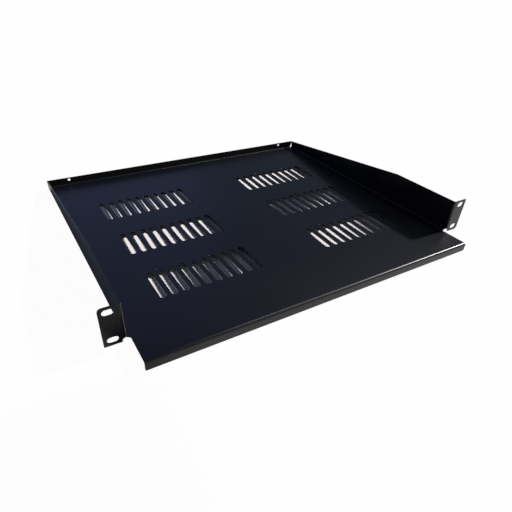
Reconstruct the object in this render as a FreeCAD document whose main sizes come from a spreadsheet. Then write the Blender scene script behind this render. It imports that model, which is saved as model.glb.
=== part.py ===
"""Cantilever rack shelf, one rack unit high, folded from one sheet of steel.

The shelf is a single piece.  The sheet is punched flat and then folded: two side walls up,
an ear outwards from the front end of each wall, a lip down along the front edge and a low
lip up along the rear edge.

Frame: X to the right, Y to the rear, Z up, in millimetres.  The origin is the centre of the
four rack slots, on the front face of the ears, which lies against the front of the rack rails.
"""

import FreeCAD, Part
import os

import Sketcher

OUTPUT_FOLDER = "parts"
NODE = "folded_shelf"

# Every driving size, in millimetres unless the note says otherwise.
SIZES = [
    ("sheet_thickness", 1.5, "steel sheet, powder coat included"),
    ("bend_radius", 1.5, "inner radius of every fold"),
    ("body_width", 442.0, "over the outer faces of the side walls"),
    ("depth_behind_ears", 365.0, "front face of the ears to the back of the rear lip"),
    ("front_reach", 35.0, "how far the tray stands out in front of the ears"),
    ("front_set_in", 4.5, "outer face of a side wall to the tray's side edge in front of it"),
    ("front_lip_height", 10.5, "top of the tray to the bottom of the front lip"),
    ("rear_lip_height", 10.5, "top of the tray to the top of the rear lip"),
    ("ear_height", 43.65, "one rack unit less its clearance, and the walls' full height"),
    ("ear_width", 20.3, "outer face of a wall to its ear's outer edge: a 482.6 mm, 19 inch panel"),
    ("ear_slot_set_in", 8.75, "outer edge of an ear to its slots' centres: 465.1 mm across"),
    ("ear_slot_level", 5.95, "top or bottom edge of an ear to a slot's centre: 31.75 mm apart"),
    ("ear_slot_length", 11.0, "rack slots, end to end"),
    ("ear_slot_width", 7.0, "rack slots"),
    ("ear_corner_radius", 4.0, "the rounded outer corner of each ear"),
    ("notch_radius", 3.0, "round corner notches beside the ears"),
    ("notch_depth", 3.5, "front face of the ears to the back of those notches"),
    ("ear_notch_rise", 0.15, "bottom edge of the ears to the centre of their corner notches"),
    ("wall_level_length", 101.5, "front face of the ears to where the walls start to slope"),
    ("wall_rear_height", 10.5, "top of the tray to the top of a wall at its rear end"),
    ("rear_corner_gap", 0.4, "rear lip to side wall at the top of the corner"),
    ("rear_left_cut", 4.5, "how far the rear lip's left end is cut in at its fold"),
    ("rear_right_cut", 3.0, "how far the rear lip's right end is cut in at its fold"),
    ("rear_hole_diameter", 4.0, "round holes in the rear lip"),
    ("rear_hole_set_in", 31.0, "outer face of a side wall to the centre of a rear hole"),
    ("rear_hole_level", 7.3, "top of the tray to the centre of those holes"),
    ("vent_length", 51.0, "vent slots, end to end, front to rear"),
    ("vent_width", 7.0, "vent slots"),
    ("vent_pitch", 13.0, "vent slots of a group, centre to centre"),
    ("vents_in_group", 10, "count"),
    ("vent_group_offset", 109.25, "middle of the tray to the middle of a group"),
    ("vent_first_row", 66.5, "front face of the ears to the centre of the first row"),
    ("vent_row_pitch", 93.75, "rows of groups, centre to centre"),
    ("vent_rows", 3, "count"),
]

# Levels and planes that several features share, as expressions on the sheet.
THICKNESS = "sizes.sheet_thickness"
INNER_BEND = "sizes.bend_radius"
OUTER_BEND = "(sizes.bend_radius + sizes.sheet_thickness)"
TRAY_BOTTOM = "(-sizes.ear_height / 2)"
TRAY_TOP = "(sizes.sheet_thickness - sizes.ear_height / 2)"
WALL_TOP = "(sizes.ear_height / 2)"
WALL_OUTER = "(sizes.body_width / 2)"
WALL_INNER = "(sizes.body_width / 2 - sizes.sheet_thickness)"
EAR_OUTER = "(sizes.body_width / 2 + sizes.ear_width)"
FRONT_SIDE = "(sizes.body_width / 2 - sizes.front_set_in)"
FOLD_TOP = "(sizes.sheet_thickness + sizes.bend_radius - sizes.ear_height / 2)"
NOTCH_CENTRE = "(sizes.notch_depth - sizes.notch_radius)"
REAR_FOLD = "(sizes.depth_behind_ears - sizes.bend_radius - sizes.sheet_thickness)"
LIP_INNER = "(sizes.depth_behind_ears - sizes.sheet_thickness)"

# How far a cutting outline reaches past the metal.
MARGIN = "10"

# How near a point has to be to count as the same, in millimetres.
SAME_PLACE = 0.01


def add_sizes(document):
    """Write the driving sizes into a spreadsheet, one named cell each."""
    sheet = document.addObject("Spreadsheet::Sheet", "sizes")
    for row, (name, value, note) in enumerate(SIZES, start=1):
        sheet.set(f"A{row}", name)
        sheet.set(f"B{row}", str(value))
        sheet.set(f"C{row}", note)
        sheet.setAlias(f"B{row}", name)
    document.recompute()
    return sheet


def origin_plane(body, role):
    """Return the body's own origin plane or axis with this role."""
    return next(item for item in body.Origin.OriginFeatures if item.Role == role)


def new_sketch(body, name, plane, offset=None):
    """Attach a sketch to an origin plane, moved along its normal by an expression."""
    sketch = body.newObject("Sketcher::SketchObject", name)
    sketch.AttachmentSupport = [(origin_plane(body, plane), "")]
    sketch.MapMode = "FlatFace"
    if offset is not None:
        sketch.setExpression(".AttachmentOffset.Base.z", offset)
    return sketch


def measure(sketch, expression):
    """Work out an expression on the sheet as a plain number."""
    return float(sketch.evalExpression(expression))


def bind(sketch, kind, geometry, point, expression):
    """Hold a point's distance from the sketch's origin to an expression."""
    value = measure(sketch, expression)
    constraint = Sketcher.Constraint(kind, -1, 1, geometry, point, value)
    index = sketch.addConstraint(constraint)
    sketch.setExpression(f"Constraints[{index}]", expression)


def bind_radius(sketch, geometry, expression):
    """Hold a circle's or an arc's radius to an expression."""
    value = measure(sketch, expression)
    index = sketch.addConstraint(Sketcher.Constraint("Radius", geometry, value))
    sketch.setExpression(f"Constraints[{index}]", expression)


def arc_between(start, end, turn, radius):
    """Make the short arc from start to end, turning left (1) or right (-1)."""
    chord = end - start
    middle = start + chord * 0.5
    rise = max(radius * radius - chord.Length * chord.Length / 4, 0.0) ** 0.5
    side = FreeCAD.Vector(-chord.y, chord.x, 0).normalize() * turn
    centre = middle + side * rise
    first, last = (start, end) if turn > 0 else (end, start)
    circle = Part.Circle(centre, FreeCAD.Vector(0, 0, 1), radius)
    return Part.ArcOfCircle(circle, circle.parameter(first), circle.parameter(last))


def draw_outline(sketch, corners, arcs=None, round_ends=False):
    """Draw a closed outline whose corners are pairs of expressions.

    Corner k runs straight to corner k + 1, unless arcs has k: then an arc of the given turn
    (1 left, -1 right) and radius expression joins them.  With round_ends each arc is a half
    circle, which leaves the straight run before it tangentially.
    """
    arcs = arcs or {}
    points = [FreeCAD.Vector(measure(sketch, x), measure(sketch, y), 0) for x, y in corners]
    count = len(points)
    runs = []
    for k, start in enumerate(points):
        end = points[(k + 1) % count]
        if k in arcs:
            turn, radius = arcs[k]
            shape = arc_between(start, end, turn, measure(sketch, radius))
        else:
            turn, shape = 1, Part.LineSegment(start, end)
        first, last = (1, 2) if turn > 0 else (2, 1)
        runs.append((sketch.addGeometry(shape), first, last))
    for k, (geometry, first, last) in enumerate(runs):
        after = (k + 1) % count
        kind = "Tangent" if round_ends and after in arcs else "Coincident"
        joined = Sketcher.Constraint(kind, geometry, last, runs[after][0], runs[after][1])
        sketch.addConstraint(joined)
        bind(sketch, "DistanceX", geometry, first, corners[k][0])
        bind(sketch, "DistanceY", geometry, first, corners[k][1])
        if k in arcs and not round_ends:
            bind_radius(sketch, geometry, arcs[k][1])


def draw_slot(sketch, centre_x, centre_y, half_x, half_y, along):
    """Draw a slot with round ends; half_x and half_y are its half sizes, along its long way."""
    left, right = f"({centre_x} - {half_x})", f"({centre_x} + {half_x})"
    low, high = f"({centre_y} - {half_y})", f"({centre_y} + {half_y})"
    if along == "x":
        near, far = f"({left} + {half_y})", f"({right} - {half_y})"
        corners = [(near, low), (far, low), (far, high), (near, high)]
        radius = half_y
    else:
        near, far = f"({low} + {half_x})", f"({high} - {half_x})"
        corners = [(right, near), (right, far), (left, far), (left, near)]
        radius = half_x
    draw_outline(sketch, corners, {1: (1, radius), 3: (1, radius)}, round_ends=True)


def draw_circle(sketch, centre_x, centre_y, radius):
    """Draw a circle bound to the sheet in place and size."""
    centre = FreeCAD.Vector(measure(sketch, centre_x), measure(sketch, centre_y), 0)
    size = measure(sketch, radius)
    circle = sketch.addGeometry(Part.Circle(centre, FreeCAD.Vector(0, 0, 1), size))
    bind(sketch, "DistanceX", circle, 3, centre_x)
    bind(sketch, "DistanceY", circle, 3, centre_y)
    bind_radius(sketch, circle, radius)


def mirror_corners(corners):
    """Mirror an outline's corners about the sketch's upright axis."""
    return [(f"(-{across})", up) for across, up in corners]


def add_pad(body, name, sketch, length, both_ways=False, backwards=False):
    """Pad a sketch by an expression, to one side or equally to both."""
    pad = body.newObject("PartDesign::Pad", name)
    pad.Profile = sketch
    pad.setExpression("Length", length)
    pad.SideType = "Symmetric" if both_ways else "One side"
    pad.Reversed = backwards
    finish_feature(body, pad)
    return pad


def add_pocket(body, name, sketch, length, both_ways=False):
    """Cut a sketch by an expression and make sure that it took metal away."""
    before = body.Shape.Volume
    pocket = body.newObject("PartDesign::Pocket", name)
    pocket.Profile = sketch
    pocket.setExpression("Length", length)
    pocket.SideType = "Symmetric" if both_ways else "One side"
    finish_feature(body, pocket)
    if body.Shape.Volume >= before:
        raise RuntimeError(f"{name} cut nothing")
    return pocket


def finish_feature(body, feature):
    """Make a feature the body's last one and work it out."""
    body.Tip = feature
    body.Document.recompute()


def add_channel(body):
    """Fold the tray's floor and its two side walls: a wide U, carried from front to rear."""
    profile = new_sketch(body, "channel_profile", "XZ_Plane", "-sizes.notch_depth")
    bend_out = f"({WALL_OUTER} - {OUTER_BEND})"
    right = [
        (bend_out, TRAY_BOTTOM),
        (WALL_OUTER, f"({TRAY_BOTTOM} + {OUTER_BEND})"),
        (WALL_OUTER, WALL_TOP),
        (WALL_INNER, WALL_TOP),
        (WALL_INNER, f"({TRAY_TOP} + {INNER_BEND})"),
        (bend_out, TRAY_TOP),
    ]
    left = mirror_corners(right)[::-1]
    arcs = {
        0: (1, OUTER_BEND),
        4: (-1, INNER_BEND),
        6: (-1, INNER_BEND),
        10: (1, OUTER_BEND),
    }
    draw_outline(profile, right + left, arcs)
    length = f"{LIP_INNER} - sizes.rear_corner_gap - sizes.notch_depth"
    add_pad(body, "channel", profile, length, backwards=True)


def trim_walls(body):
    """Slope the tops of both walls down to the rear."""
    sketch = new_sketch(body, "wall_slope_outline", "YZ_Plane")
    rear = f"({LIP_INNER} - sizes.rear_corner_gap)"
    rear_top = f"({TRAY_TOP} + sizes.wall_rear_height)"
    corners = [
        ("sizes.wall_level_length", WALL_TOP),
        (rear, rear_top),
        (f"({rear} + {MARGIN})", rear_top),
        (f"({rear} + {MARGIN})", f"({WALL_TOP} + {MARGIN})"),
        ("sizes.wall_level_length", f"({WALL_TOP} + {MARGIN})"),
    ]
    draw_outline(sketch, corners)
    add_pocket(body, "wall_slope", sketch, f"sizes.body_width + {MARGIN}", both_ways=True)


def trim_rear_ends(body):
    """Cut the rear end of the channel back to the fold line, leaning open towards the lip."""
    sketch = new_sketch(body, "rear_end_outline", "YZ_Plane")
    rear = f"({LIP_INNER} - sizes.rear_corner_gap)"
    far = f"({rear} + {MARGIN})"
    corners = [
        (REAR_FOLD, f"({TRAY_BOTTOM} - {MARGIN})"),
        (far, f"({TRAY_BOTTOM} - {MARGIN})"),
        (far, f"({TRAY_TOP} + sizes.wall_rear_height)"),
        (rear, f"({TRAY_TOP} + sizes.wall_rear_height)"),
        (REAR_FOLD, f"({TRAY_TOP} + {INNER_BEND})"),
    ]
    draw_outline(sketch, corners)
    add_pocket(body, "rear_ends", sketch, f"sizes.body_width + {MARGIN}", both_ways=True)


def add_front(body):
    """Carry the tray forward between the ears and fold its front edge down."""
    sketch = new_sketch(body, "front_profile", "YZ_Plane")
    edge = "(-sizes.front_reach)"
    lip_bottom = f"({TRAY_TOP} - sizes.front_lip_height)"
    bend_end = f"({edge} + {OUTER_BEND})"
    corners = [
        (NOTCH_CENTRE, TRAY_BOTTOM),
        (NOTCH_CENTRE, TRAY_TOP),
        (bend_end, TRAY_TOP),
        (edge, f"({TRAY_TOP} - {OUTER_BEND})"),
        (edge, lip_bottom),
        (f"({edge} + {THICKNESS})", lip_bottom),
        (f"({edge} + {THICKNESS})", f"({TRAY_BOTTOM} - {INNER_BEND})"),
        (bend_end, TRAY_BOTTOM),
    ]
    draw_outline(sketch, corners, {2: (1, OUTER_BEND), 6: (-1, INNER_BEND)})
    add_pad(body, "front", sketch, f"2 * {FRONT_SIDE}", both_ways=True)


def add_notch_floor(body):
    """Carry the tray's floor and the walls' folds forward to the middle of the notches."""
    sketch = new_sketch(body, "notch_floor_profile", "XZ_Plane", f"-{NOTCH_CENTRE}")
    bend_out = f"({WALL_OUTER} - {OUTER_BEND})"
    right = [
        (bend_out, TRAY_BOTTOM),
        (WALL_OUTER, FOLD_TOP),
        (WALL_INNER, FOLD_TOP),
        (bend_out, TRAY_TOP),
    ]
    left = mirror_corners(right)[::-1]
    arcs = {0: (1, OUTER_BEND), 2: (-1, INNER_BEND), 4: (-1, INNER_BEND), 6: (1, OUTER_BEND)}
    draw_outline(sketch, right + left, arcs)
    add_pad(body, "notch_floor", sketch, "sizes.notch_radius", backwards=True)


def cut_front_notches(body):
    """Drill the round relief at the inner end of the notch on each side of the tray."""
    sketch = new_sketch(body, "front_notch_outline", "XY_Plane", FOLD_TOP)
    for side in ("", "-"):
        across = f"{side}({FRONT_SIDE} + sizes.notch_radius)"
        draw_circle(sketch, across, NOTCH_CENTRE, "sizes.notch_radius")
    add_pocket(body, "front_notches", sketch, f"{OUTER_BEND} + {MARGIN}")


def add_rear_lip(body):
    """Fold the tray's rear edge up into a low lip whose ends lean in towards the fold."""
    sketch = new_sketch(body, "rear_lip_profile", "YZ_Plane")
    top = f"({TRAY_TOP} + sizes.rear_lip_height)"
    back = "sizes.depth_behind_ears"
    corners = [
        (REAR_FOLD, TRAY_BOTTOM),
        (back, f"({TRAY_BOTTOM} + {OUTER_BEND})"),
        (back, top),
        (LIP_INNER, top),
        (LIP_INNER, f"({TRAY_TOP} + {INNER_BEND})"),
        (REAR_FOLD, TRAY_TOP),
    ]
    # The last run closes the outline upright at the fold line, where both bends start.
    draw_outline(sketch, corners, {0: (1, OUTER_BEND), 4: (-1, INNER_BEND)})
    add_pad(body, "rear_lip", sketch, "sizes.body_width", both_ways=True)


def trim_rear_lip(body):
    """Lean the ends of the rear lip in towards the fold, to clear the walls' own folds."""
    sketch = new_sketch(body, "rear_lip_end_outline", "XZ_Plane", f"-{REAR_FOLD}")
    top = f"({TRAY_TOP} + sizes.rear_lip_height)"
    ends = []
    for cut in ("sizes.rear_right_cut", "sizes.rear_left_cut"):
        cut_in = f"({WALL_OUTER} - {cut})"
        corners = [
            (cut_in, f"({TRAY_BOTTOM} - {MARGIN})"),
            (f"({WALL_OUTER} + {MARGIN})", f"({TRAY_BOTTOM} - {MARGIN})"),
            (f"({WALL_OUTER} + {MARGIN})", top),
            (WALL_OUTER, top),
            (cut_in, f"({TRAY_TOP} + {INNER_BEND})"),
        ]
        ends.append(corners)
    right, left = ends
    draw_outline(sketch, right)
    draw_outline(sketch, mirror_corners(left))
    length = f"sizes.depth_behind_ears - {REAR_FOLD} + {MARGIN}"
    add_pocket(body, "rear_lip_ends", sketch, length)


def add_ears(body):
    """Carry each wall forward over the notch and fold it outwards into an ear."""
    sketch = new_sketch(body, "ear_profile", "XY_Plane", TRAY_BOTTOM)
    bend_out = f"({WALL_INNER} + {OUTER_BEND})"
    corners = [
        (WALL_INNER, "sizes.notch_depth"),
        (WALL_INNER, OUTER_BEND),
        (bend_out, "0"),
        (EAR_OUTER, "0"),
        (EAR_OUTER, THICKNESS),
        (bend_out, THICKNESS),
        (WALL_OUTER, OUTER_BEND),
        (WALL_OUTER, "sizes.notch_depth"),
    ]
    draw_outline(sketch, corners, {1: (1, OUTER_BEND), 5: (-1, INNER_BEND)})
    ear = add_pad(body, "ear", sketch, "sizes.ear_height")
    other = body.newObject("PartDesign::Mirrored", "other_ear")
    other.Originals = [ear]
    other.MirrorPlane = (origin_plane(body, "YZ_Plane"), [""])
    finish_feature(body, other)


def cut_ear_notches(body):
    """Bite the corner where the ear's fold would meet the wall's fold."""
    sketch = new_sketch(body, "ear_notch_outline", "XZ_Plane")
    level = f"({TRAY_BOTTOM} + sizes.ear_notch_rise)"
    for side in ("", "-"):
        draw_circle(sketch, f"({side}{WALL_OUTER})", level, "sizes.notch_radius")
    add_pocket(body, "ear_notches", sketch, "sizes.notch_depth")


def cut_ear_slots(body):
    """Cut the four rack slots."""
    sketch = new_sketch(body, "ear_slot_outline", "XZ_Plane")
    for side in ("", "-"):
        for level in ("", "-"):
            draw_slot(
                sketch,
                f"({side}({EAR_OUTER} - sizes.ear_slot_set_in))",
                f"({level}({WALL_TOP} - sizes.ear_slot_level))",
                "sizes.ear_slot_length / 2",
                "sizes.ear_slot_width / 2",
                along="x",
            )
    add_pocket(body, "ear_slots", sketch, f"{THICKNESS} + {MARGIN}")


def edges_along_y(shape, corners):
    """Name the straight edges that run front to rear through these points of the XZ plane."""
    names = []
    for number, edge in enumerate(shape.Edges, start=1):
        ends = [FreeCAD.Vector(end.X, 0, end.Z) for end in edge.Vertexes]
        for corner in corners:
            if all(end.distanceToPoint(corner) < SAME_PLACE for end in ends):
                names.append(f"Edge{number}")
    return names


def round_ear_corners(body):
    """Round one outer corner of each ear: the top one on the left, the bottom one on the right."""
    before = body.Shape.Volume
    across = measure(body, EAR_OUTER)
    up = measure(body, WALL_TOP)
    corners = [FreeCAD.Vector(-across, 0, up), FreeCAD.Vector(across, 0, -up)]
    names = edges_along_y(body.Shape, corners)
    base = body.Tip
    fillet = body.newObject("PartDesign::Fillet", "ear_corner_rounds")
    fillet.Base = (base, names)
    fillet.setExpression("Radius", "sizes.ear_corner_radius")
    finish_feature(body, fillet)
    if len(names) != len(corners) or body.Shape.Volume >= before:
        raise RuntimeError("ear corners were not rounded")


def cut_vents(body):
    """Punch the six groups of vent slots: the first slot of two groups, patterned both ways."""
    sketch = new_sketch(body, "vent_outline", "XY_Plane", TRAY_TOP)
    half_group = "(sizes.vents_in_group - 1) / 2 * sizes.vent_pitch"
    for side in ("", "-"):
        draw_slot(
            sketch,
            f"({side}sizes.vent_group_offset - {half_group})",
            "sizes.vent_first_row",
            "sizes.vent_width / 2",
            "sizes.vent_length / 2",
            along="y",
        )
    vent = add_pocket(body, "vent", sketch, f"{THICKNESS} + {MARGIN}")
    before = body.Shape.Volume
    pattern = body.newObject("PartDesign::LinearPattern", "vents")
    pattern.Originals = [vent]
    pattern.Direction = (origin_plane(body, "X_Axis"), [""])
    pattern.Mode = "Extent"
    pattern.setExpression("Length", "(sizes.vents_in_group - 1) * sizes.vent_pitch")
    pattern.setExpression("Occurrences", "sizes.vents_in_group")
    pattern.Direction2 = (origin_plane(body, "Y_Axis"), [""])
    pattern.Mode2 = "Extent"
    pattern.setExpression("Length2", "(sizes.vent_rows - 1) * sizes.vent_row_pitch")
    pattern.setExpression("Occurrences2", "sizes.vent_rows")
    finish_feature(body, pattern)
    if body.Shape.Volume >= before:
        raise RuntimeError("the vents were not patterned")


def cut_rear_holes(body):
    """Punch the two round holes in the rear lip."""
    sketch = new_sketch(body, "rear_hole_outline", "XZ_Plane", f"-{REAR_FOLD}")
    level = f"({TRAY_TOP} + sizes.rear_hole_level)"
    for side in ("", "-"):
        across = f"({side}({WALL_OUTER} - sizes.rear_hole_set_in))"
        draw_circle(sketch, across, level, "sizes.rear_hole_diameter / 2")
    length = f"sizes.depth_behind_ears - {REAR_FOLD} + {MARGIN}"
    add_pocket(body, "rear_holes", sketch, length)


def make_shelf(document):
    """Build the folded shelf as one body."""
    body = document.addObject("PartDesign::Body", NODE)
    body.Label = NODE
    add_channel(body)
    trim_walls(body)
    trim_rear_ends(body)
    add_rear_lip(body)
    trim_rear_lip(body)
    add_ears(body)
    cut_ear_notches(body)
    add_front(body)
    add_notch_floor(body)
    cut_front_notches(body)
    cut_ear_slots(body)
    round_ear_corners(body)
    cut_vents(body)
    cut_rear_holes(body)
    return body


def check_document(document, bodies):
    """Stop if any object failed, or if a body isn't one valid solid."""
    document.recompute()
    for item in document.Objects:
        if "Invalid" in item.State or "Error" in item.State:
            raise RuntimeError(f"{item.Name} failed: {item.State}")
    for body in bodies:
        if body.Shape.isNull() or not body.Shape.isValid():
            raise RuntimeError(f"{body.Label} has no valid shape")
        if len(body.Shape.Solids) != 1:
            raise RuntimeError(f"{body.Label} is {len(body.Shape.Solids)} solids")


def main():
    """Build the document, check it and write one STEP file for each body."""
    document = FreeCAD.newDocument("cantilever_rack_shelf")
    add_sizes(document)
    bodies = [make_shelf(document)]
    check_document(document, bodies)
    os.makedirs(OUTPUT_FOLDER, exist_ok=True)
    for body in bodies:
        body.Shape.exportStep(f"{OUTPUT_FOLDER}/{body.Label}.step")
        print(f"{body.Label}: {body.Shape.Volume:.0f} mm3, {len(body.Shape.Faces)} faces")


main()
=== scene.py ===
"""Looks of the cantilever rack shelf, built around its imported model.

The shelf is one sheet of steel, punched flat, folded and powder coated.  This script makes that
sheet the way the shop does: it draws the flat blank, punches the slots in it, rounds its sheared
edges and carries every point through the folds.  Lengths inside the sheet's classes are in
millimetres, and the finished mesh is in metres, in the shelf's own frame: X to the right, Y to
the rear, Z up, with the origin in the middle of the four rack slots.
"""

import logging
import math
from dataclasses import dataclass
from enum import Enum

import bpy
import numpy as np
from mathutils import Matrix, Vector
from mathutils.geometry import delaunay_2d_cdt

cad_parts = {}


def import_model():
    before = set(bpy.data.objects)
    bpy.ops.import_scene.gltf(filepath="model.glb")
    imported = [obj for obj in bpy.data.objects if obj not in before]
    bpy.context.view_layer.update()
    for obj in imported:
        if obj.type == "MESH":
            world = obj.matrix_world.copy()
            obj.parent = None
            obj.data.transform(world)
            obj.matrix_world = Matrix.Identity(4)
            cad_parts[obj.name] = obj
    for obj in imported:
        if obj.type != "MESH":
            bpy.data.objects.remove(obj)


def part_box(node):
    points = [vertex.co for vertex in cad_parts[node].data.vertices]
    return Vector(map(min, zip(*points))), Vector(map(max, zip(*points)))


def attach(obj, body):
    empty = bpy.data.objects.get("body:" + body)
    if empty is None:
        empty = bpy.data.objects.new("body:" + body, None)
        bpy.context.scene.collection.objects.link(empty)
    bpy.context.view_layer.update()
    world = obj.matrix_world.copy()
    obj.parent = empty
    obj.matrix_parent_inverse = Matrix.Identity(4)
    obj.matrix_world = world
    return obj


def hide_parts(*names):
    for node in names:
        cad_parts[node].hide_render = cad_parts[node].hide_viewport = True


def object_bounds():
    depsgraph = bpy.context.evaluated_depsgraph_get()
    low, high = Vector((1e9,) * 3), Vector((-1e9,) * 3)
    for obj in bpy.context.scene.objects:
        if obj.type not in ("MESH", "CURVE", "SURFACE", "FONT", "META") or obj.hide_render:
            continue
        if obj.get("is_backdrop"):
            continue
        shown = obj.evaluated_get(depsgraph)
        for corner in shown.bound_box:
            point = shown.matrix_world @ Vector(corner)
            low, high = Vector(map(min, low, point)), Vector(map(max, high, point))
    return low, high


SHELF_NODE = "folded_shelf"
BODY = "root"
METRE = 1000.0
QUARTER = math.pi / 2
ARC_STEP = math.radians(12)
SAME_POINT = 1e-4

Array = np.ndarray
Pair = tuple[float, float]
Triple = tuple[float, float, float]
UNIT = (0.0, 1.0)
log = logging.getLogger("rack_shelf")


class Side(Enum):
    """Which side of the shelf, as the sign of X."""

    LEFT = -1
    RIGHT = 1


class Corner(Enum):
    """An outer corner of an ear."""

    TOP = "top"
    BOTTOM = "bottom"


# ---------------------------------------------------------------------------------------------
# Plane curves


def arc_points(centre: Array, radius: float, start: float, sweep: float, steps: int) -> Array:
    """Points on a circle: centre + radius (cos a, sin a), with a from start to start + sweep.

    Args:
        centre: The circle's centre.
        radius: Its radius.
        start: The first point's angle in radians.
        sweep: The angle turned through, positive to the left.
        steps: How many chords stand for the arc.

    Returns:
        An array of steps + 1 points.
    """
    angle = start + sweep * np.linspace(0.0, 1.0, steps + 1)
    return np.asarray(centre) + radius * np.stack([np.cos(angle), np.sin(angle)], axis=1)


def rounded_corner(before: Array, corner: Array, after: Array, radius: float) -> Array:
    """The arc of a radius that touches the two straight runs of a corner.

    The runs leave the corner along unit vectors p and q with the angle w between them.  The arc
    starts and ends at radius / tan(w / 2) from the corner, and its centre lies on the bisector
    at radius / sin(w / 2).

    Args:
        before: The outline's point before the corner.
        corner: The corner.
        after: The outline's point after it.
        radius: The arc's radius.

    Returns:
        The arc's points, from the first run to the second.
    """
    back = (before - corner) / np.linalg.norm(before - corner)
    on = (after - corner) / np.linalg.norm(after - corner)
    half = math.acos(float(np.clip(back @ on, -1.0, 1.0))) / 2
    middle = (back + on) / np.linalg.norm(back + on)
    centre = corner + middle * radius / math.sin(half)
    first = corner + back * radius / math.tan(half) - centre
    last = corner + on * radius / math.tan(half) - centre
    turn = math.atan2(first[0] * last[1] - first[1] * last[0], float(first @ last))
    steps = max(3, math.ceil(abs(turn) / ARC_STEP))
    return arc_points(centre, radius, math.atan2(first[1], first[0]), turn, steps)


def slot_outline(length: float, width: float, along_v: bool, steps: int) -> Array:
    """A slot with half-circle ends about the origin, drawn clockwise as a hole.

    Args:
        length: End to end.
        width: Across, which is also the ends' diameter.
        along_v: True if the slot's long way is the blank's v, and False for u.
        steps: Chords in each half circle.

    Returns:
        The slot's points.
    """
    radius, reach = width / 2, length / 2 - width / 2
    far = arc_points(np.array([reach, 0.0]), radius, QUARTER, -math.pi, steps)
    near = arc_points(np.array([-reach, 0.0]), radius, -QUARTER, -math.pi, steps)
    points = np.concatenate([far, near])
    turned = np.stack([-points[:, 1], points[:, 0]], axis=1)
    return turned if along_v else points


def edge_normals(loop_start: Array, loop_end: Array) -> Array:
    """Unit normals to the right of straight runs: (dv, -du) / length.

    Args:
        loop_start: Where each run starts.
        loop_end: Where it ends.

    Returns:
        One normal for each run.
    """
    run = loop_end - loop_start
    run = run / np.linalg.norm(run, axis=1, keepdims=True)
    return np.stack([run[:, 1], -run[:, 0]], axis=1)


def mitre(normal_in: Array, normal_out: Array) -> Array:
    """The shift of a corner that moves both its runs by one unit: (a + b) / (1 + a . b).

    Args:
        normal_in: The normals a of the runs into the corners.
        normal_out: The normals b of the runs out of them.

    Returns:
        One shift for each corner.
    """
    dot = np.sum(normal_in * normal_out, axis=1, keepdims=True)
    return (normal_in + normal_out) / (1.0 + dot)


def drawn_in(loop: Array, distance: float) -> Array:
    """Move a loop towards the sheet, which lies to the left of it.

    Args:
        loop: The loop's points in order.
        distance: How far each run moves.

    Returns:
        The moved loop.
    """
    out = edge_normals(loop, np.roll(loop, -1, axis=0))
    return loop - distance * mitre(np.roll(out, 1, axis=0), out)


def inside(points: Array, starts: Array, ends: Array) -> Array:
    """Tell which points lie inside loops, by how many runs a ray to the right crosses.

    Args:
        points: The points to test.
        starts: The starts of all the loops' runs.
        ends: Their ends.

    Returns:
        True where the number of crossings is odd.
    """
    u, v = points[:, :1], points[:, 1:]
    (u0, v0), (u1, v1) = starts.T, ends.T
    spans = (v0 > v) != (v1 > v)
    rise = np.where(v1 == v0, 1.0, v1 - v0)
    crossing = u0 + (v - v0) * (u1 - u0) / rise
    return np.sum(spans & (u < crossing), axis=1) % 2 == 1


# ---------------------------------------------------------------------------------------------
# The sheet


@dataclass(frozen=True)
class SheetSizes:
    """The sheet's driving sizes in millimetres.

    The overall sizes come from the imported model's box, through from_frame, and the others are
    the sizes that the shelf is punched and folded to.
    """

    half_panel: float
    reach: float
    depth: float
    lip_bottom: float
    half_height: float
    thickness: float = 1.5
    inner_bend: float = 1.5
    half_body: float = 221.0
    front_set_in: float = 4.5
    rear_lip: float = 10.5
    wall_rear: float = 10.5
    wall_level: float = 101.5
    rear_gap: float = 0.4
    rear_left_cut: float = 4.5
    rear_right_cut: float = 3.0
    relief_radius: float = 3.0
    relief_back: float = 3.5
    ear_round: float = 4.0
    ear_slot: Pair = (11.0, 7.0)
    ear_slot_set_in: float = 8.75
    ear_slot_level: float = 5.95
    rear_hole: float = 4.0
    rear_hole_set_in: float = 31.0
    rear_hole_level: float = 7.3
    vent: Pair = (51.0, 7.0)
    vent_pitch: float = 13.0
    vents_in_group: int = 10
    vent_group: float = 109.25
    vent_first_row: float = 66.5
    vent_row_pitch: float = 93.75
    vent_rows: int = 3

    @classmethod
    def from_frame(cls, node: str) -> "SheetSizes":
        """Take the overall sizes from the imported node's box.

        Args:
            node: The node's name.

        Returns:
            The sizes, with the others at their own values.
        """
        low, high = (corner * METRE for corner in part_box(node))
        return cls(
            half_panel=high.x,
            reach=-low.y,
            depth=high.y,
            lip_bottom=low.z,
            half_height=high.z,
        )

    @property
    def middle(self) -> float:
        """The level of the tray's middle surface."""
        return self.thickness / 2 - self.half_height

    @property
    def tray_top(self) -> float:
        """The level of the tray's top."""
        return self.thickness - self.half_height

    @property
    def bend(self) -> float:
        """The radius of a fold at the sheet's middle surface."""
        return self.inner_bend + self.thickness / 2

    @property
    def outer_bend(self) -> float:
        """The outer radius of a fold."""
        return self.inner_bend + self.thickness

    @property
    def bend_length(self) -> float:
        """How much of the blank a square fold takes up."""
        return QUARTER * self.bend


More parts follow.
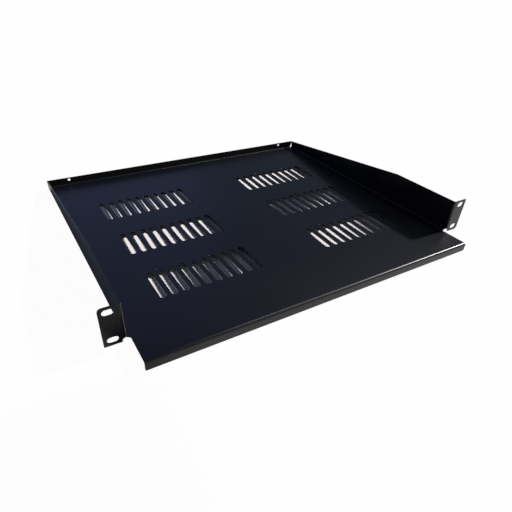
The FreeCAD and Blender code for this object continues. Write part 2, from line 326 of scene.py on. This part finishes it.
@dataclass(frozen=True)
class Blank:
    """The flat blank: u runs across the shelf and v from front to rear.

    On the tray, u and v are X and Y.  Past a fold they go on along the folded flange.
    """

    sizes: SheetSizes
    deburr: float = 0.6
    hole_steps: int = 14
    fold_steps: int = 8

    @property
    def side_fold(self) -> Pair:
        """Where the side fold starts and ends in u."""
        start = self.sizes.half_body - self.sizes.outer_bend
        return start, start + self.sizes.bend_length

    @property
    def ear_fold(self) -> Pair:
        """Where the ear's fold starts and ends in v, going forward."""
        start = self.sizes.outer_bend
        return start, start - self.sizes.bend_length

    @property
    def front_fold(self) -> Pair:
        """Where the front edge's fold starts and ends in v, going forward."""
        start = self.sizes.outer_bend - self.sizes.reach
        return start, start - self.sizes.bend_length

    @property
    def rear_fold(self) -> Pair:
        """Where the rear lip's fold starts and ends in v."""
        start = self.sizes.depth - self.sizes.outer_bend
        return start, start + self.sizes.bend_length

    @property
    def front_side(self) -> float:
        """Half the width of the tray in front of the ears."""
        return self.sizes.half_body - self.sizes.front_set_in

    @property
    def relief_centre(self) -> Array:
        """The centre of the round relief where the side fold and the ear's fold would cross."""
        radius = self.sizes.relief_radius
        return np.array([self.front_side + radius, self.sizes.relief_back - radius])

    def lip_end(self, side: Side) -> float:
        """How far out the rear lip reaches at its fold, on one side."""
        cut = self.sizes.rear_left_cut if side is Side.LEFT else self.sizes.rear_right_cut
        return self.sizes.half_body - cut

    def u_at(self, level: float) -> float:
        """The u of a level on a side wall or an ear."""
        return self.side_fold[1] + level - (self.sizes.middle + self.sizes.bend)

    def v_on_ear(self, across: float) -> float:
        """The v of a distance from the shelf's middle plane, on an ear."""
        fold_end = self.sizes.half_body - self.sizes.thickness + self.sizes.outer_bend
        return self.ear_fold[1] - (across - fold_end)

    def v_on_rear_lip(self, level: float) -> float:
        """The v of a level on the rear lip."""
        return self.rear_fold[1] + level - (self.sizes.middle + self.sizes.bend)

    def side_corners(self, side: Side) -> list[tuple[Array, float]]:
        """The outline's corners on one side, from the front lip to the rear lip.

        Args:
            side: Which side of the shelf.

        Returns:
            Pairs of a corner, as on the right side, and the radius that rounds it.  A radius of
            zero marks a point on the relief's arc, which needs no rounding.
        """
        sizes = self.sizes
        front_end = self.front_fold[1] - (sizes.middle - sizes.bend - sizes.lip_bottom)
        ear_bottom, ear_top = self.u_at(-sizes.half_height), self.u_at(sizes.half_height)
        ear_end = self.v_on_ear(sizes.half_panel)
        wall_rear = self.u_at(sizes.tray_top + sizes.wall_rear)
        wall_end = sizes.depth - sizes.thickness - sizes.rear_gap
        rounded = Corner.TOP if side is Side.LEFT else Corner.BOTTOM
        top_round = sizes.ear_round if rounded is Corner.TOP else self.deburr
        bottom_round = sizes.ear_round if rounded is Corner.BOTTOM else self.deburr
        lip_end = self.lip_end(side)
        corners = [((self.front_side, front_end), self.deburr)]
        corners += [(tuple(point), 0.0) for point in self.relief_arc(ear_bottom)]
        corners += [
            ((ear_bottom, ear_end), bottom_round),
            ((ear_top, ear_end), top_round),
            ((ear_top, sizes.wall_level), sizes.ear_round),
            ((wall_rear, wall_end), self.deburr),
            ((self.side_fold[1], self.rear_fold[0]), self.deburr),
            ((lip_end, self.rear_fold[0]), self.deburr),
            ((lip_end, self.rear_fold[1]), self.deburr),
            ((sizes.half_body, self.v_on_rear_lip(sizes.tray_top + sizes.rear_lip)), self.deburr),
        ]
        return [(np.array(corner), radius) for corner, radius in corners]

    def relief_arc(self, ear_bottom: float) -> Array:
        """The relief's arc, clockwise from the tray's side edge to the ear's bottom edge.

        Args:
            ear_bottom: The u of the ear's bottom edge.

        Returns:
            The arc's points.
        """
        centre, radius = self.relief_centre, self.sizes.relief_radius
        last = -math.acos((ear_bottom - centre[0]) / radius)
        return arc_points(centre, radius, math.pi, last - math.pi, 3 * self.hole_steps)

    def outline(self) -> Array:
        """The blank's outer edge, with every sheared corner slightly rounded.

        Returns:
            The edge's points, anticlockwise.
        """
        flip = np.array([-1.0, 1.0])
        right = self.side_corners(Side.RIGHT)
        left = [(corner * flip, radius) for corner, radius in self.side_corners(Side.LEFT)]
        corners = right + left[::-1]
        count = len(corners)
        runs = []
        for k, (corner, radius) in enumerate(corners):
            before, after = corners[k - 1][0], corners[(k + 1) % count][0]
            runs.append(rounded_corner(before, corner, after, radius) if radius else corner[None])
        return np.concatenate(runs)

    def holes(self) -> list[Array]:
        """Every punched hole: vents, rack slots and the rear lip's round holes.

        The k-th vent of a group of n lies (k - (n - 1) / 2) pitches from the group's middle.

        Returns:
            The holes' outlines, each clockwise.
        """
        sizes = self.sizes
        middle = (sizes.vents_in_group - 1) / 2
        across = (np.arange(sizes.vents_in_group) - middle) * sizes.vent_pitch
        rows = sizes.vent_first_row + np.arange(sizes.vent_rows) * sizes.vent_row_pitch
        groups = np.concatenate([across - sizes.vent_group, across + sizes.vent_group])
        vent_centres = np.stack(np.meshgrid(groups, rows), axis=-1).reshape(-1, 1, 2)
        vents = slot_outline(*sizes.vent, along_v=True, steps=self.hole_steps) + vent_centres

        ear_v = self.v_on_ear(sizes.half_panel - sizes.ear_slot_set_in)
        level = sizes.half_height - sizes.ear_slot_level
        ear_u = np.array([self.u_at(level), self.u_at(-level)])
        ear_u = np.concatenate([ear_u, -ear_u])
        ear_centres = np.stack([ear_u, np.full(4, ear_v)], axis=1)[:, None]
        ear_slots = slot_outline(*sizes.ear_slot, along_v=True, steps=self.hole_steps) + ear_centres

        rear_u = sizes.half_body - sizes.rear_hole_set_in
        rear_v = self.v_on_rear_lip(sizes.tray_top + sizes.rear_hole_level)
        ring = arc_points(np.zeros(2), sizes.rear_hole / 2, 0.0, -2 * math.pi, 2 * self.hole_steps)
        rear_holes = ring[:-1] + np.array([[[rear_u, rear_v]], [[-rear_u, rear_v]]])
        return [*vents, *ear_slots, *rear_holes]

    def fold_lines(self) -> tuple[Array, Array]:
        """The lines that divide each fold, so that the sheet turns evenly through it.

        Returns:
            The lines' starts and ends.  They run a little past the sheet, where nothing is kept.
        """
        sizes, steps = self.sizes, self.fold_steps
        over = sizes.relief_radius / 2
        front_end, top = self.front_side + over / 2, self.u_at(sizes.half_height)
        left_end, right_end = (self.lip_end(side) + over / 2 for side in Side)
        centre_u, centre_v = self.relief_centre
        sides = np.linspace(*self.side_fold, steps + 1)
        ears = np.linspace(*self.ear_fold, steps + 1)
        fronts = np.linspace(*self.front_fold, steps + 1)
        rears = np.linspace(*self.rear_fold, steps + 1)
        starts, ends = [], []
        for sign in (-1.0, 1.0):
            starts += [(sign * u, centre_v) for u in sides] + [(sign * centre_u, v) for v in ears]
            ends += [(sign * u, self.rear_fold[0] + over) for u in sides]
            ends += [(sign * (top + over), v) for v in ears]
        starts += [(-front_end, v) for v in fronts] + [(-left_end, v) for v in rears]
        ends += [(front_end, v) for v in fronts] + [(right_end, v) for v in rears]
        return np.array(starts), np.array(ends)


@dataclass(frozen=True)
class Fold:
    """The map from the flat blank to the folded sheet's middle surface."""

    blank: Blank

    def place(self, points: Array) -> tuple[Array, Array, Array]:
        """Carry points of the blank through the folds.

        A fold of radius r that starts at s takes the blank's coordinate s + r a to the angle a,
        up to a quarter turn: the sheet then runs r sin a on and r (1 - cos a) up, and after the
        quarter turn straight up.  The walls fold up along u, the ears fold outwards from the
        walls along v, and the front and rear edges fold down and up along v.

        Args:
            points: Points (u, v) of the blank.

        Returns:
            The points in space, and the unit vectors that the blank's u and v turn into there.
        """
        sizes, blank = self.blank.sizes, self.blank
        u, v = points.T
        across, side = np.abs(u), np.where(u < 0, -1.0, 1.0)
        wall, ear_foot = self._zones(across, v)

        # Side folds, and the ears' feet, which carry the wall's plane down past its fold.
        turn, on, up = self._turned(across - blank.side_fold[0])
        turn = np.where(ear_foot, QUARTER, turn)
        on = np.where(ear_foot, sizes.bend, on)
        up = np.where(ear_foot, sizes.bend + across - blank.side_fold[1], up)
        x = np.where(wall, blank.side_fold[0] + on, across)
        z = np.where(wall, up, 0.0)
        side_turn = np.where(wall, turn, 0.0)

        # Ears, folded outwards from the walls' plane.
        turn, on, out = self._turned(blank.ear_fold[0] - v)
        ear_turn = np.where(wall, turn, 0.0)
        x = x + np.where(wall, out, 0.0)
        y = np.where(wall & (v < blank.ear_fold[0]), blank.ear_fold[0] - on, v)

        # Front and rear edges of the tray.
        front, on, down = self._turned(blank.front_fold[0] - v)
        y = np.where(wall | (front <= 0), y, blank.front_fold[0] - on)
        z = np.where(wall | (front <= 0), z, -down)
        rear, on, up = self._turned(v - blank.rear_fold[0])
        y = np.where(wall | (rear <= 0), y, blank.rear_fold[0] + on)
        z = np.where(wall | (rear <= 0), z, up)
        edge_turn = np.where(wall, 0.0, np.maximum(front, rear))

        place = np.stack([side * x, y, sizes.middle + z], axis=1)
        zero = np.zeros_like(u)
        along_u = np.stack([np.cos(side_turn), zero, side * np.sin(side_turn)], axis=1)
        along_v = np.stack(
            [-side * np.sin(ear_turn), np.cos(ear_turn) * np.cos(edge_turn), np.sin(edge_turn)],
            axis=1,
        )
        return place, along_u, along_v

    def _turned(self, past: Array) -> tuple[Array, Array, Array]:
        """Follow a fold: r sin a on and r (1 - cos a) up, and straight up after the quarter turn.

        Args:
            past: Distances on the blank past the fold's start, negative before it.

        Returns:
            The angle that the sheet has turned, how far it has gone on and how far it has risen.
        """
        radius, length = self.blank.sizes.bend, self.blank.sizes.bend_length
        angle = np.clip(past, 0.0, length) / radius
        on = np.minimum(past, 0.0) + radius * np.sin(angle)
        rise = radius * (1.0 - np.cos(angle)) + np.maximum(past - length, 0.0)
        return angle, on, rise

    def _zones(self, across: Array, v: Array) -> tuple[Array, Array]:
        """Tell the side walls and ears from the tray and its front and rear edges.

        In front of the relief and behind the tray the two are apart, and the divider runs in
        the gap between them.

        Args:
            across: Distances of the points from the blank's middle line.
            v: Their distances along the blank.

        Returns:
            True on the side walls and ears, and True on the ears' feet.
        """
        sizes, blank = self.blank.sizes, self.blank
        gap = (blank.front_side + blank.u_at(-sizes.half_height)) / 2
        behind = v - blank.rear_fold[0]
        in_front = v < blank.relief_centre[1]
        divider = np.where(in_front, gap, blank.side_fold[0])
        divider = np.where(behind > 0, blank.relief_centre[0] + behind, divider)
        wall = across > divider
        return wall, wall & in_front


@dataclass(frozen=True)
class EdgeRound:
    """The rounded section of the sheet's sheared and coated edges."""

    radius: float = 0.06
    steps: int = 3

    def section(self, half_thickness: float) -> tuple[Array, Array, Array]:
        """The section from the top face round to the bottom face.

        It is a quarter circle of the radius, the flat of the edge and another quarter circle.

        Args:
            half_thickness: Half the sheet's thickness.

        Returns:
            How far each point stands out from the drawn-in outline, its height over the middle
            surface, and the angle of its normal from the sheet's own.
        """
        angle = np.linspace(0.0, QUARTER, self.steps + 1)
        out = self.radius * np.sin(angle)
        height = half_thickness - self.radius * (1.0 - np.cos(angle))
        tilt = np.concatenate([angle, math.pi - angle[::-1]])
        return np.concatenate([out, out[::-1]]), np.concatenate([height, -height[::-1]]), tilt


@dataclass
class FoldedSheet:
    """The whole shelf: blank, folds, thickness and rounded edges, as one closed mesh."""

    blank: Blank
    edge: EdgeRound
    name: str = "folded_shelf_sheet"

    def build(self) -> bpy.types.Object:
        """Make the sheet's mesh object.

        The blank is triangulated once and used for both faces of the sheet.  Along its edges,
        the section of EdgeRound is carried round every outline.  Each point is then
        middle(u, v) + height normal(u, v), with u and v moved out by the section.

        Returns:
            The object, at the origin, with its place in its mesh.
        """
        flat, triangles = self._triangulated()
        starts, ends = self._boundary(triangles)
        outward = self._outward(flat, starts, ends)
        half = self.blank.sizes.thickness / 2
        out, height, tilt = self.edge.section(half)

        rim_ids = np.unique(starts)
        rim_number = np.full(len(flat), -1)
        rim_number[rim_ids] = np.arange(len(rim_ids))
        middle_rings = len(out) - 2

        place, normal = self._folded(flat, outward, 0.0, half, 0.0)
        under, under_normal = self._folded(flat, outward, 0.0, -half, math.pi)
        points, normals = [place, under], [normal, under_normal]
        for k in range(1, middle_rings + 1):
            ring, ring_normal = self._folded(
                flat[rim_ids], outward[rim_ids], out[k], height[k], tilt[k]
            )
            points.append(ring)
            normals.append(ring_normal)

        count = len(flat)
        first, last = rim_number[starts], rim_number[ends]
        ring_base = 2 * count + np.arange(middle_rings) * len(rim_ids)
        start_rings = [starts, *(base + first for base in ring_base), starts + count]
        end_rings = [ends, *(base + last for base in ring_base), ends + count]
        quads = [
            np.stack([start_rings[k], start_rings[k + 1], end_rings[k + 1], end_rings[k]], axis=1)
            for k in range(middle_rings + 1)
        ]
        faces = [*triangles.tolist(), *(triangles[:, ::-1] + count).tolist()]
        faces += np.concatenate(quads).tolist()

        mesh = bpy.data.meshes.new(self.name)
        mesh.from_pydata(np.concatenate(points) / METRE, [], faces)
        mesh.polygons.foreach_set("use_smooth", np.ones(len(faces), dtype=bool))
        mesh.normals_split_custom_set_from_vertices(np.concatenate(normals))
        mesh.update()
        sheet = bpy.data.objects.new(self.name, mesh)
        bpy.context.scene.collection.objects.link(sheet)
        log.info("%s: %d points, %d faces", self.name, len(mesh.vertices), len(mesh.polygons))
        return sheet

    def _triangulated(self) -> tuple[Array, Array]:
        """Divide the drawn-in blank into triangles, with an edge along every fold line.

        Returns:
            The points (u, v) and the triangles' three point numbers, anticlockwise.
        """
        drawn = (self.blank.outline(), *self.blank.holes())
        loops = [drawn_in(loop, self.edge.radius) for loop in drawn]
        points = np.concatenate(loops)
        firsts = np.cumsum([0, *(len(loop) for loop in loops[:-1])])
        following = np.concatenate(
            [first + (np.arange(len(loop)) + 1) % len(loop) for first, loop in zip(firsts, loops)]
        )
        line_starts, line_ends = self.blank.fold_lines()
        lines = np.arange(len(line_starts)) + len(points)
        edges = np.concatenate(
            [
                np.stack([np.arange(len(points)), following], axis=1),
                np.stack([lines, lines + len(lines)], axis=1),
            ]
        )
        given = [Vector(point) for point in np.concatenate([points, line_starts, line_ends])]
        found, _, faces, *_ = delaunay_2d_cdt(given, edges.tolist(), [], 0, SAME_POINT, False)
        flat, triangles = np.array(found), np.array(faces)
        middles = flat[triangles].mean(axis=1)
        kept = inside(middles, points, points[following])
        triangles = triangles[kept]
        used, renumbered = np.unique(triangles, return_inverse=True)
        return flat[used], renumbered.reshape(triangles.shape)

    @staticmethod
    def _boundary(triangles: Array) -> tuple[Array, Array]:
        """The sheet's edges, which are the directed runs that belong to one triangle only.

        Args:
            triangles: The triangles' point numbers.

        Returns:
            The numbers of the points where the runs start, and where they end.
        """
        starts = triangles.ravel()
        ends = np.roll(triangles, -1, axis=1).ravel()
        count = triangles.max() + 1
        single = ~np.isin(starts * count + ends, ends * count + starts)
        return starts[single], ends[single]

    @staticmethod
    def _outward(flat: Array, starts: Array, ends: Array) -> Array:
        """The mitred outward shift of every point on the sheet's edges, zero elsewhere.

        Args:
            flat: Points of the blank.
            starts: The numbers of the points where the edges' runs start.
            ends: The numbers of the points where they end.

        Returns:
            One shift for each point.
        """
        normals = edge_normals(flat[starts], flat[ends])
        leaving, arriving = np.zeros_like(flat), np.zeros_like(flat)
        leaving[starts], arriving[ends] = normals, normals
        return mitre(arriving, leaving)

    def _folded(
        self, flat: Array, outward: Array, out: float, height: float, tilt: float
    ) -> tuple[Array, Array]:
        """Carry one ring of the sheet's section through the folds.

        Args:
            flat: Points of the drawn-in blank.
            outward: Their mitred outward shifts.
            out: How far the ring stands out.
            height: Its height over the middle surface.
            tilt: The angle of its normal from the sheet's own.

        Returns:
            The ring's points and unit normals.
        """
        middle, along_u, along_v = Fold(self.blank).place(flat + out * outward)
        normal = np.cross(along_u, along_v)
        sideways = outward[:, :1] * along_u + outward[:, 1:] * along_v
        length = np.linalg.norm(sideways, axis=1, keepdims=True)
        sideways = sideways / np.where(length > 0, length, 1.0)
        return middle + height * normal, math.cos(tilt) * normal + math.sin(tilt) * sideways


# ---------------------------------------------------------------------------------------------
# Finishes


class Shader:
    """A small helper that adds and joins the nodes of one material or world."""

    def __init__(self, tree: bpy.types.NodeTree) -> None:
        """Empty the tree."""
        self.tree = tree
        tree.nodes.clear()

    def add(self, kind: str, **inputs: object) -> bpy.types.Node:
        """Add a node.

        Args:
            kind: The node's type.
            **inputs: Its socket values, by name with underscores for spaces.

        Returns:
            The node.
        """
        node = self.tree.nodes.new(kind)
        for name, value in inputs.items():
            node.inputs[name.replace("_", " ")].default_value = value
        return node

    def join(self, source: bpy.types.NodeSocket, target: bpy.types.NodeSocket) -> None:
        """Join an output to an input."""
        self.tree.links.new(source, target)

    def math(self, operation: str, first: object, second: object = 0.0) -> bpy.types.NodeSocket:
        """Add a math node.

        Args:
            operation: What it works out, by Blender's name.
            first: The first socket or number.
            second: The second one, for operations that take two.

        Returns:
            The result.
        """
        node = self.tree.nodes.new("ShaderNodeMath")
        node.operation = operation
        for socket, value in zip(node.inputs, (first, second)):
            if isinstance(value, bpy.types.NodeSocket):
                self.join(value, socket)
            else:
                socket.default_value = value
        return node.outputs["Value"]

    def ranged(
        self, value: bpy.types.NodeSocket, source: Pair, target: Pair
    ) -> bpy.types.NodeSocket:
        """Carry a value from one range to another, and hold it at the ends.

        Args:
            value: The value.
            source: The range that it runs through.
            target: The range that it is carried to.

        Returns:
            The carried value.
        """
        node = self.add(
            "ShaderNodeMapRange",
            From_Min=source[0],
            From_Max=source[1],
            To_Min=target[0],
            To_Max=target[1],
        )
        self.join(value, node.inputs["Value"])
        return node.outputs["Result"]

    def noise(
        self, place: bpy.types.NodeSocket, scale: float, detail: float
    ) -> bpy.types.NodeSocket:
        """Add a cloud of noise.

        Args:
            place: The coordinates that it is drawn on.
            scale: How many clumps it has in a unit of length.
            detail: How many finer layers lie over them.

        Returns:
            The noise, 0 to 1.
        """
        node = self.add("ShaderNodeTexNoise", Scale=scale, Detail=detail)
        self.join(place, node.inputs["Vector"])
        return node.outputs["Fac"]


@dataclass(frozen=True)
class PowderCoat:
    """Satin powder coat: nearly black with a navy cast, with the fine peel of a baked finish.

    The peel, the grain and the faint marks of handling are clouds of noise, each with its scale
    and detail.
    """

    colour: Triple = (0.0015, 0.0023, 0.0048)
    faded: Triple = (0.0027, 0.0037, 0.0066)
    roughness: Pair = (0.27, 0.35)
    specular: float = 0.4
    peel_height: float = 0.00003
    grain_share: float = 0.1
    peel: Pair = (900.0, 2.0)
    grain: Pair = (4200.0, 1.0)
    handling: Pair = (9.0, 3.0)

    def material(self, name: str) -> bpy.types.Material:
        """Make the finish as a material on Object coordinates.

        Args:
            name: The material's name.

        Returns:
            The material.
        """
        coat = bpy.data.materials.new(name)
        coat.use_nodes = True
        coat.diffuse_color = (*self.colour, 1.0)
        shader = Shader(coat.node_tree)
        place = shader.add("ShaderNodeTexCoord").outputs["Object"]
        handling = shader.noise(place, *self.handling)
        peel = shader.noise(place, *self.peel)
        grain = shader.noise(place, *self.grain)

        colour = shader.add("ShaderNodeMix")
        colour.data_type = "RGBA"
        colour.inputs["A"].default_value = (*self.colour, 1.0)
        colour.inputs["B"].default_value = (*self.faded, 1.0)
        shader.join(handling, colour.inputs["Factor"])

        relief = shader.math("ADD", peel, shader.math("MULTIPLY", grain, self.grain_share))
        bump = shader.add("ShaderNodeBump", Distance=self.peel_height, Strength=1.0)
        shader.join(relief, bump.inputs["Height"])

        surface = shader.add("ShaderNodeBsdfPrincipled", Metallic=0.0, IOR=1.5)
        surface.inputs["Specular IOR Level"].default_value = self.specular
        shader.join(colour.outputs["Result"], surface.inputs["Base Color"])
        roughness = shader.ranged(handling, UNIT, self.roughness)
        shader.join(roughness, surface.inputs["Roughness"])
        shader.join(bump.outputs["Normal"], surface.inputs["Normal"])
        output = shader.add("ShaderNodeOutputMaterial")
        shader.join(surface.outputs["BSDF"], output.inputs["Surface"])
        return coat


@dataclass(frozen=True)
class PaleFloor:
    """A matt white floor, with its shadows lifted where it is only background.

    The lift is a white glow that rises over a range of distances from the tray's edges.  For
    camera rays the range lies under the tray, outside the slots' view of the floor.  For glossy
    and transmission rays it lies further off, so that the shelf mirrors the shadow beside it.
    The overhang is how far each ear stands out past the tray's side.
    """

    colour: Triple = (0.77, 0.745, 0.735)
    lift: float = 0.97
    seen: Pair = (-0.025, -0.012)
    mirrored: Pair = (0.06, 0.16)
    overhang: float = 0.0203

    def material(self, name: str, low: Vector, high: Vector) -> bpy.types.Material:
        """Make the floor's material.

        Args:
            name: The material's name.
            low: The lowest corner of the shelf's box.
            high: Its highest corner.

        Returns:
            The material.
        """
        floor = bpy.data.materials.new(name)
        floor.use_nodes = True
        shader = Shader(floor.node_tree)
        place = shader.add("ShaderNodeTexCoord").outputs["Object"]
        parts = shader.add("ShaderNodeSeparateXYZ")
        shader.join(place, parts.inputs["Vector"])
        sides = (("X", low.x + self.overhang, high.x - self.overhang), ("Y", low.y, high.y))
        past = []
        for axis, start, end in sides:
            from_middle = shader.math("SUBTRACT", parts.outputs[axis], (start + end) / 2)
            distance = shader.math("ABSOLUTE", from_middle)
            past.append(shader.math("SUBTRACT", distance, (end - start) / 2))
        beyond = shader.math("MAXIMUM", *past)
        ray = shader.add("ShaderNodeLightPath").outputs
        reflected = shader.math("MAXIMUM", ray["Is Glossy Ray"], ray["Is Transmission Ray"])
        seen = shader.ranged(beyond, self.seen, UNIT)
        seen = shader.math("MULTIPLY", ray["Is Camera Ray"], seen)
        mirrored = shader.ranged(beyond, self.mirrored, UNIT)
        mirrored = shader.math("MULTIPLY", reflected, mirrored)
        lift = shader.math("MULTIPLY", shader.math("ADD", seen, mirrored), self.lift)

        matt = shader.add("ShaderNodeBsdfDiffuse", Color=(*self.colour, 1.0))
        glow = shader.add("ShaderNodeEmission", Color=(1.0, 1.0, 1.0, 1.0), Strength=1.0)
        mix = shader.add("ShaderNodeMixShader")
        shader.join(lift, mix.inputs["Fac"])
        shader.join(matt.outputs["BSDF"], mix.inputs[1])
        shader.join(glow.outputs["Emission"], mix.inputs[2])
        output = shader.add("ShaderNodeOutputMaterial")
        shader.join(mix.outputs["Shader"], output.inputs["Surface"])
        return floor


# ---------------------------------------------------------------------------------------------
# Studio


@dataclass(frozen=True)
class Viewpoint:
    """The camera: to the left in front of the shelf, looking down over its left ear."""

    position: Triple = (-0.27990, -0.29475, 0.25816)
    heading_deg: float = 32.720
    pitch_deg: float = -36.590
    roll_deg: float = 3.019
    lens_mm: float = 30.152
    shift: Pair = (0.01149, 0.05354)
    nearest: float = 0.01

    def build(self) -> bpy.types.Object:
        """Make the camera and set it as the scene's.

        Returns:
            The camera.
        """
        degrees = (self.heading_deg, self.pitch_deg, self.roll_deg)
        heading, pitch, roll = (math.radians(angle) for angle in degrees)
        level = math.cos(pitch)
        forward = Vector((math.sin(heading) * level, math.cos(heading) * level, math.sin(pitch)))
        right = forward.cross(Vector((0, 0, 1))).normalized()
        right = Matrix.Rotation(-roll, 3, forward) @ right
        up = right.cross(forward)
        turned = Matrix((right, up, -forward)).transposed().to_4x4()
        data = bpy.data.cameras.new("viewpoint")
        data.lens = self.lens_mm
        data.shift_x, data.shift_y = self.shift
        data.clip_start = self.nearest
        camera = bpy.data.objects.new("viewpoint", data)
        camera.matrix_world = Matrix.Translation(self.position) @ turned
        bpy.context.scene.collection.objects.link(camera)
        bpy.context.scene.camera = camera
        return camera


def hang(data: bpy.types.Light, place: Vector, fall: Vector) -> bpy.types.Object:
    """Hang a lamp.

    Args:
        data: The lamp's light.
        place: Where it hangs.
        fall: The direction in which it shines.

    Returns:
        The lamp.
    """
    lamp = bpy.data.objects.new(data.name, data)
    lamp.location = place
    lamp.rotation_mode = "QUATERNION"
    lamp.rotation_quaternion = fall.to_track_quat("-Z", "Y")
    bpy.context.scene.collection.objects.link(lamp)
    return lamp


@dataclass(frozen=True)
class SoftLamp:
    """A rectangular lamp that faces the shelf's origin, for the shelf's coat to mirror.

    One that lights nothing matt leaves the shadows on the floor as they are.
    """

    name: str
    place: Triple
    size: Pair
    colour: Triple
    power: float
    lights_matt: bool = True

    def build(self) -> None:
        """Hang the lamp."""
        data = bpy.data.lights.new(self.name, "AREA")
        data.shape = "RECTANGLE"
        data.size, data.size_y = self.size
        data.energy = self.power
        data.color = self.colour
        place = Vector(self.place)
        hang(data, place, -place).visible_diffuse = self.lights_matt


@dataclass(frozen=True)
class Studio:
    """The shelf's surroundings: a white floor, a key lamp, a black card and a dim room.

    The key lamp shines from the right.  Three soft lamps are there to be mirrored: the tray
    shows the cool window behind the shelf, the rear lip and the ears show the warm doorway in
    front of it, and the front fold shows the small glint above its right end.
    """

    key_fall: Triple = (-1.50, 0.08, -1.0)
    key_colour: Triple = (1.0, 0.96, 0.94)
    key_strength: float = 6.0
    key_softness_deg: float = 4.0
    soft_lamps: tuple[SoftLamp, ...] = (
        SoftLamp("window", (-0.20, 1.60, 0.80), (1.8, 1.3), (0.28, 0.32, 0.90), 1.55),
        SoftLamp("doorway", (0.75, -1.80, 0.70), (2.2, 0.8), (1.0, 0.82, 0.62), 5.0),
        SoftLamp("glint", (0.70, 0.35, 1.50), (0.35, 0.35), (1.0, 0.97, 0.95), 4.0, False),
    )
    flag_shade: tuple[Pair, Pair] = ((-0.45, -0.25), (-0.21, -0.025))
    flag_height: float = 0.5
    sky_colour: Triple = (0.60, 0.74, 1.08)
    sky_strength: float = 0.14
    floor_size: float = 12.0
    front_drop: float = 0.0023
    rear_drop: float = 0.0011
    floor_roll: float = 0.0030

    def build(self, low: Vector, high: Vector) -> None:
        """Make the floor, the lamps and the world.

        Args:
            low: The shelf's lowest corner.
            high: Its highest corner.
        """
        self._floor(low, high)
        self._key()
        for lamp in self.soft_lamps:
            lamp.build()
        self._flag(low.z)
        self._sky()

    def _floor(self, low: Vector, high: Vector) -> None:
        """Lay the floor by its drops under the front lip's edge and the tray's rear edge.

        It is the plane z = z_front + (y - y_front) slope - x roll.

        Args:
            low: The shelf's lowest corner.
            high: Its highest corner.
        """
        front = low.z - self.front_drop
        rear = -high.z - self.rear_drop
        slope = (rear - front) / (high.y - low.y)
        half = self.floor_size / 2
        corner = np.array([[-1, -1], [1, -1], [1, 1], [-1, 1]]) * half
        level = front + (corner[:, 1] - low.y) * slope - corner[:, 0] * self.floor_roll
        mesh = bpy.data.meshes.new("floor")
        mesh.from_pydata(np.column_stack([corner, level]), [], [(0, 1, 2, 3)])
        mesh.materials.append(PaleFloor().material("matt_white_floor", low, high))
        floor = bpy.data.objects.new("floor", mesh)
        bpy.context.scene.collection.objects.link(floor)
        floor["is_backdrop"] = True

    def _key(self) -> None:
        """Hang the key lamp, a distant one whose place doesn't matter."""
        data = bpy.data.lights.new("key_lamp", "SUN")
        data.energy = self.key_strength
        data.color = self.key_colour
        data.angle = math.radians(self.key_softness_deg)
        hang(data, Vector(), Vector(self.key_fall))

    def _flag(self, level: float) -> None:
        """Hold a black card in the key's way, which shades the floor before the left ear.

        The card is the shaded rectangle, moved against the key's fall up to the card's height.

        Args:
            level: The level of the shaded rectangle.
        """
        (left, front), (right, back) = self.flag_shade
        shade = ((left, front), (right, front), (right, back), (left, back))
        climb = Vector(self.key_fall) * -self.flag_height
        mesh = bpy.data.meshes.new("flag")
        mesh.from_pydata([Vector((x, y, level)) + climb for x, y in shade], [], [(0, 1, 2, 3)])
        card = bpy.data.materials.new("black_card")
        card.diffuse_color = (0.0, 0.0, 0.0, 1.0)
        mesh.materials.append(card)
        flag = bpy.data.objects.new("flag", mesh)
        flag.visible_camera = False
        flag.visible_glossy = False
        flag.visible_diffuse = False
        bpy.context.scene.collection.objects.link(flag)
        flag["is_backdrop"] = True

    def _sky(self) -> None:
        """Give the room a dim, cool light."""
        world = bpy.data.worlds.new("studio")
        bpy.context.scene.world = world
        world.use_nodes = True
        shader = Shader(world.node_tree)
        colour = (*self.sky_colour, 1.0)
        sky = shader.add("ShaderNodeBackground", Color=colour, Strength=self.sky_strength)
        output = shader.add("ShaderNodeOutputWorld")
        shader.join(sky.outputs["Background"], output.inputs["Surface"])


def main() -> None:
    """Build the shelf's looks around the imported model."""
    logging.basicConfig(level=logging.INFO, format="%(name)s: %(message)s")
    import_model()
    low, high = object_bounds()
    bpy.context.scene.view_settings.view_transform = "Standard"

    sheet = FoldedSheet(Blank(SheetSizes.from_frame(SHELF_NODE)), EdgeRound()).build()
    sheet.data.materials.append(PowderCoat().material("satin_powder_coat"))
    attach(sheet, BODY)
    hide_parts(SHELF_NODE)

    Studio().build(low, high)
    Viewpoint().build()


if __name__ == "__main__":
    main()
